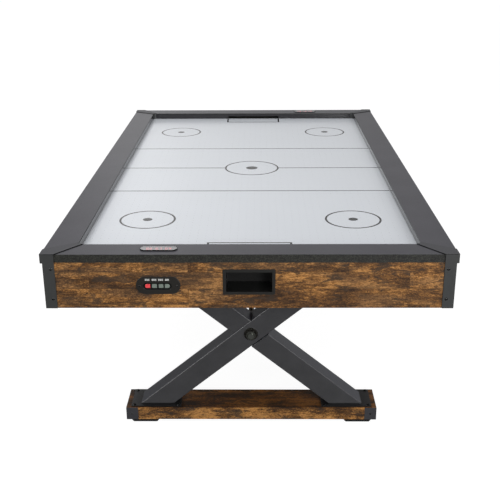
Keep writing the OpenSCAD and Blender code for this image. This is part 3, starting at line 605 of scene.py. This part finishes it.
def round_edges(part, width):
    """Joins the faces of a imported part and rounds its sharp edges."""
    if not width:
        return
    part.data.polygons.foreach_set("use_smooth", [True] * len(part.data.polygons))
    weld = part.modifiers.new("weld", "WELD")
    weld.merge_threshold = 0.005 * MM
    flat = part.modifiers.new("flat", "DECIMATE")
    flat.decimate_type = "DISSOLVE"
    flat.angle_limit = math.radians(0.4)
    bevel = part.modifiers.new("bevel", "BEVEL")
    bevel.width = width
    bevel.segments = 2
    bevel.limit_method = "ANGLE"
    bevel.angle_limit = math.radians(38)
    bevel.use_clamp_overlap = False
    bevel.harden_normals = False
    normals = part.modifiers.new("normals", "WEIGHTED_NORMAL")
    normals.weight = 100
    normals.keep_sharp = False


def finish_parts(finishes):
    """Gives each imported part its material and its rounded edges."""
    lengthwise = rustic_laminate("rustic_laminate_lengthwise", "y")
    # the base beams' tops get a brown painted shade
    plain_board = rustic_laminate(
        "rustic_laminate_base", "x", joints=0.0, haziness=0.12, tones=(0.443, 0.538),
        top_shade=(0.44, 0.36, 0.22, 1))
    special = {"apron_left": lengthwise, "apron_right": lengthwise,
               "base_beam_front": plain_board, "base_beam_rear": plain_board,
               "tie_rod": black_oxide(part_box("tie_rod")[1].y)}
    for row in frame["record"]["subparts"]:
        part, slot = frame["nodes"][row["node"]], row["material_slot"]
        part.data.materials.clear()
        part.data.materials.append(special.get(row["node"], finishes[slot]))
        round_edges(part, EDGE_ROUND[slot] * MM)


def smooth_wires():
    """Rounds the faceted wiring harness."""
    wires = frame["nodes"]["wiring_harness"]
    wires.data.polygons.foreach_set("use_smooth", [True] * len(wires.data.polygons))
    weld = wires.modifiers.new("weld", "WELD")
    weld.merge_threshold = 0.005 * MM
    rounder = wires.modifiers.new("rounder", "SUBSURF")
    rounder.levels = 1
    rounder.render_levels = 1


# ---- Printed markings and displays ----

class Print:
    """Thin closed shapes with one finish, gathered in one mesh and then placed."""

    def __init__(self, low, high):
        self.mesh = bmesh.new()
        self.low = low
        self.high = high

    def shell(self, corners):
        """Bottom and top vertices over each corner."""
        return [(self.mesh.verts.new((x, y, self.low)), self.mesh.verts.new((x, y, self.high)))
                for x, y in corners]

    def plate(self, corners):
        """A plate with a convex outline, given anticlockwise."""
        posts = self.shell(corners)
        self.mesh.faces.new([low for low, _ in reversed(posts)])
        self.mesh.faces.new([high for _, high in posts])
        for (low, high), (next_low, next_high) in zip(posts, posts[1:] + posts[:1]):
            self.mesh.faces.new((low, next_low, next_high, high))

    def bar(self, x0, y0, x1, y1):
        """A rectangle between two corners."""
        self.plate([(x0, y0), (x1, y0), (x1, y1), (x0, y1)])

    def disc(self, x, y, radius):
        """A filled circle."""
        self.plate(circle(x, y, radius))

    def ring(self, inner, outer):
        """A ring between two outlines with the same number of corners."""
        inside = self.shell(inner)
        outside = self.shell(outer)
        turns = zip(inside, outside, inside[1:] + inside[:1], outside[1:] + outside[:1])
        for (a_low, a_high), (b_low, b_high), (c_low, c_high), (d_low, d_high) in turns:
            self.mesh.faces.new((a_high, b_high, d_high, c_high))
            self.mesh.faces.new((c_low, d_low, b_low, a_low))
            self.mesh.faces.new((b_low, d_low, d_high, b_high))
            self.mesh.faces.new((c_low, a_low, a_high, c_high))

    def place(self, name, finish, matrix):
        """Makes the shapes one object that rides on the table."""
        data = bpy.data.meshes.new(name)
        self.mesh.to_mesh(data)
        self.mesh.free()
        data.materials.append(finish)
        printed = bpy.data.objects.new(name, data)
        bpy.context.scene.collection.objects.link(printed)
        printed.matrix_world = matrix
        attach(printed, "table")


def circle(x, y, radius, sides=96):
    """Corners round a circle, anticlockwise from +X."""
    turns = [2 * math.pi * side / sides for side in range(sides)]
    return [(x + radius * math.cos(turn), y + radius * math.sin(turn)) for turn in turns]


def stadium(length, width, sides=48):
    """Outline of a bar with half-round ends, round the origin."""
    reach = (length - width) / 2
    turned = circle(0, 0, width / 2, sides)
    right = [(reach + x, y) for x, y in turned[-sides // 4:] + turned[:sides // 4 + 1]]
    return right + [(-x, -y) for x, y in right]


# How far printed ink reaches into its surface and stands out of it
INK_SUNK = -0.1 * MM
INK_PROUD = 0.12 * MM

# Markings on the field: line width, cross lines, rings and spots, and the goal creases, which
# reach CREASE_SIDE from the middle and start at CREASE_Y
LINE = 7 * MM
CROSS_LINE_Y = 328 * MM
CENTRE_RING = 109.6 * MM
CENTRE_SPOT = 23.5 * MM
CORNER_X = 344 * MM
CORNER_Y = 663 * MM
CORNER_RING = 94.3 * MM
CORNER_SPOT = 16 * MM
CREASE_SIDE = 132 * MM
CREASE_Y = 888 * MM


def print_field(finish):
    """Lines, circles and spots on the playing surface, and a crease in front of each goal."""
    half_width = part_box("side_wall_right")[0].x
    wall_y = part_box("end_wall_rear")[0].y
    marks = Print(INK_SUNK, INK_PROUD)
    for end in (-1, 1):
        y = end * CROSS_LINE_Y
        marks.bar(-half_width, y - LINE / 2, half_width, y + LINE / 2)
        x0, x1 = sorted((end * CENTRE_RING, end * half_width))
        marks.bar(x0, -LINE / 2, x1, LINE / 2)
        y0, y1 = sorted((end * CREASE_Y, end * (CREASE_Y + LINE)))
        marks.bar(-CREASE_SIDE, y0, CREASE_SIDE, y1)
        y0, y1 = sorted((end * (CREASE_Y + LINE), end * wall_y))
        for side in (-1, 1):
            x0, x1 = sorted((side * CREASE_SIDE, side * (CREASE_SIDE - LINE)))
            marks.bar(x0, y0, x1, y1)
            x, y = side * CORNER_X, end * CORNER_Y
            marks.ring(circle(x, y, CORNER_RING - LINE), circle(x, y, CORNER_RING))
            marks.disc(x, y, CORNER_SPOT)
    marks.ring(circle(0, 0, CENTRE_RING - LINE), circle(0, 0, CENTRE_RING))
    marks.disc(0, 0, CENTRE_SPOT)
    marks.place("field_marks", finish, Matrix.Translation((0, 0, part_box("playfield")[1].z)))


# Lengths of the lower row of dashes over each button, in millimetres; the upper row reverses it
DASHES = {"power_button": (4.6, 3.4, 3.4), "start_button": (5.2, 3.0, 3.8),
          "sound_button": (3.0, 4.4, 4.6), "mode_button": (4.6, 5.4)}

# The gap between dashes, their height, the distance between rows, and how far the rows stand from
# the button's middle and below the panel's top
DASH_GAP = 1.0 * MM
DASH_HEIGHT = 2.4 * MM
DASH_ROW = 3.3 * MM
DASH_SHIFT = -0.4 * MM
DASH_DROP = 12.2 * MM


def print_labels(finish):
    """A generic mark, two rows of short dashes, above each button."""
    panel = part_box("control_panel")
    foot = panel[1].z - DASH_DROP
    marks = Print(INK_SUNK, INK_PROUD)
    for node, dashes in DASHES.items():
        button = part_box(node)
        middle = (button[0].x + button[1].x) / 2 + DASH_SHIFT
        total = sum(dashes) * MM + DASH_GAP * (len(dashes) - 1)
        for row, order in enumerate((dashes, dashes[::-1])):
            z = foot + row * DASH_ROW
            x = middle - total / 2
            for dash in order:
                marks.bar(x, z, x + dash * MM, z + DASH_HEIGHT)
                x += dash * MM + DASH_GAP
    facing_front = Matrix(((1, 0, 0, 0), (0, 0, -1, panel[0].y), (0, 1, 0, 0), (0, 0, 0, 1)))
    marks.place("button_labels", finish, facing_front)


# Which of a digit's seven segments are lit: top, upper left, upper right, middle, lower left,
# lower right, bottom
LIT = {"0": "1110111", "2": "1011101", "4": "0111010", "7": "1010010"}

# A digit's half width and half height, its stroke, and half the gap between upright segments
DIGIT_W = 3.2 * MM
DIGIT_H = 6.2 * MM
STROKE = 1.5 * MM
BREAK = 0.25 * MM

# A display's digits: the pairs and the distance between them, how far each digit stands from its
# pair's middle, and the depths of its light under the window's surface
PAIRS = ("02", "07", "04")
PAIR_PITCH = 28 * MM
DIGIT_SHIFT = 5.1 * MM
LIGHT_LOW = -1.6 * MM
LIGHT_HIGH = -1.3 * MM

# A display's black ring of painted shade: how far it lies inside and outside the window's edge, and below
# its surface
RIM_SHADE_INSIDE = 0.1 * MM
RIM_SHADE_OUTSIDE = 1.2 * MM
RIM_SHADE_TOP = -0.15 * MM


def add_digit(lights, character, x, y):
    """One seven-segment digit, centred at x and y."""
    inner = DIGIT_W - STROKE
    centre = STROKE / 2
    segments = [
        (-inner, DIGIT_H - STROKE, inner, DIGIT_H),
        (-DIGIT_W, centre + BREAK, -inner, DIGIT_H - BREAK),
        (inner, centre + BREAK, DIGIT_W, DIGIT_H - BREAK),
        (-inner, -centre, inner, centre),
        (-DIGIT_W, BREAK - DIGIT_H, -inner, -centre - BREAK),
        (inner, BREAK - DIGIT_H, DIGIT_W, -centre - BREAK),
        (-inner, -DIGIT_H, inner, STROKE - DIGIT_H)]
    for lit, (x0, y0, x1, y1) in zip(LIT[character], segments):
        if lit == "1":
            lights.bar(x + x0, y + y0, x + x1, y + y1)


def top_middle(node):
    """A shift to the middle of a node's upper face."""
    low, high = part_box(node)
    return Matrix.Translation(((low.x + high.x) / 2, (low.y + high.y) / 2, high.z))


def light_display(name, window, turn, finish):
    """Three pairs of digits just under a display's surface, turned to face the players at its end."""
    lights = Print(LIGHT_LOW, LIGHT_HIGH)
    for pair, offset in zip(PAIRS, (-PAIR_PITCH, 0.0, PAIR_PITCH)):
        for character, side in zip(pair, (-1, 1)):
            add_digit(lights, character, offset + side * DIGIT_SHIFT, 0.0)
    lights.place(name, finish, top_middle(window) @ Matrix.Rotation(turn, 4, "Z"))


def shade_window_rim(name, window, finish):
    """A black ring of painted shade round the edge of a display's window."""
    low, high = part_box(window)
    length, width = high.x - low.x, high.y - low.y
    inner = stadium(length - 2 * RIM_SHADE_INSIDE, width - 2 * RIM_SHADE_INSIDE)
    outer = stadium(length + 2 * RIM_SHADE_OUTSIDE, width + 2 * RIM_SHADE_OUTSIDE)
    shade_ring = Print(low.z - high.z, RIM_SHADE_TOP)
    shade_ring.ring(inner, outer)
    shade_ring.place(name, finish, top_middle(window))


# ---- Run ----

add_camera()
add_studio()
finishes = make_finishes()
finish_parts(finishes)
smooth_wires()
print_field(ink("field_ink", paint(20, 20, 22), paint(30, 30, 32), 0.24))
print_labels(ink("label_ink", paint(206, 208, 206), paint(222, 223, 221), 0.45))
digit_light = lit_segment()
# black for the painted shade round each display's window
rim_shade_black = ink("rim_shade_black", paint(2, 2, 2), paint(5, 5, 5), 0.9)
for end, turn in (("front", 0.0), ("rear", math.pi)):
    light_display("digits_" + end, "score_lens_" + end, turn, digit_light)
    shade_window_rim("rim_shade_" + end, "score_lens_" + end, rim_shade_black)
